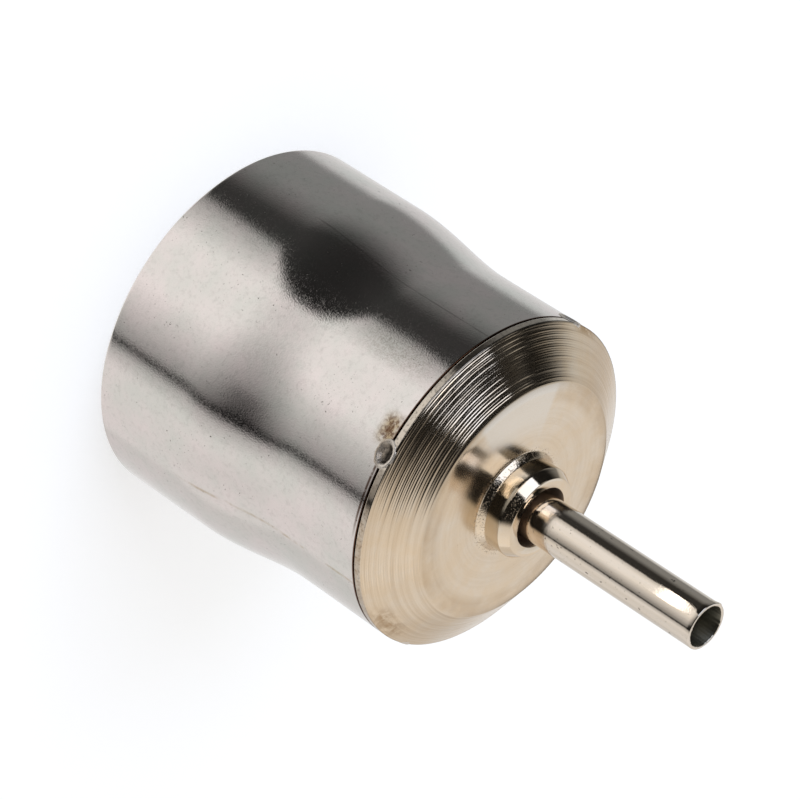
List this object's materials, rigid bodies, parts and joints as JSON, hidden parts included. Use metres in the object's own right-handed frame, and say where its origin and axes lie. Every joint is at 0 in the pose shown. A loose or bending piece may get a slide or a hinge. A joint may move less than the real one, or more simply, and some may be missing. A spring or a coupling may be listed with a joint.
{
  "type": "hot air nozzle",
  "caption": "Round hot air nozzle: a swaged sheet-steel sleeve that slides over a heater barrel, a turned end cap with a ridged cone and boss, and a thin outlet tube.",
  "frame": {"origin": "centre of the sleeve's open rim, on the surface that the nozzle stands on", "axes": "+Z along the nozzle's axis, from the open rim to the tip of the outlet tube; +X through the middle of a tack weld"},
  "size_m": [0.0306, 0.0306, 0.0507],
  "materials": {
    "sleeve_steel": "bright, slightly grained",
    "cap_nickel": "nickel plated over turning marks",
    "tube_steel": "bright drawn",
    "weld_metal": "as welded, heat tinted"
  },
  "bodies": {
    "root": {"sleeve": "sleeve_steel", "end_cap": "cap_nickel", "outlet_tube": "tube_steel", "weld_spot_1": "weld_metal", "weld_spot_2": "weld_metal", "weld_spot_3": "weld_metal", "weld_spot_4": "weld_metal"}
  },
  "joints": []
}
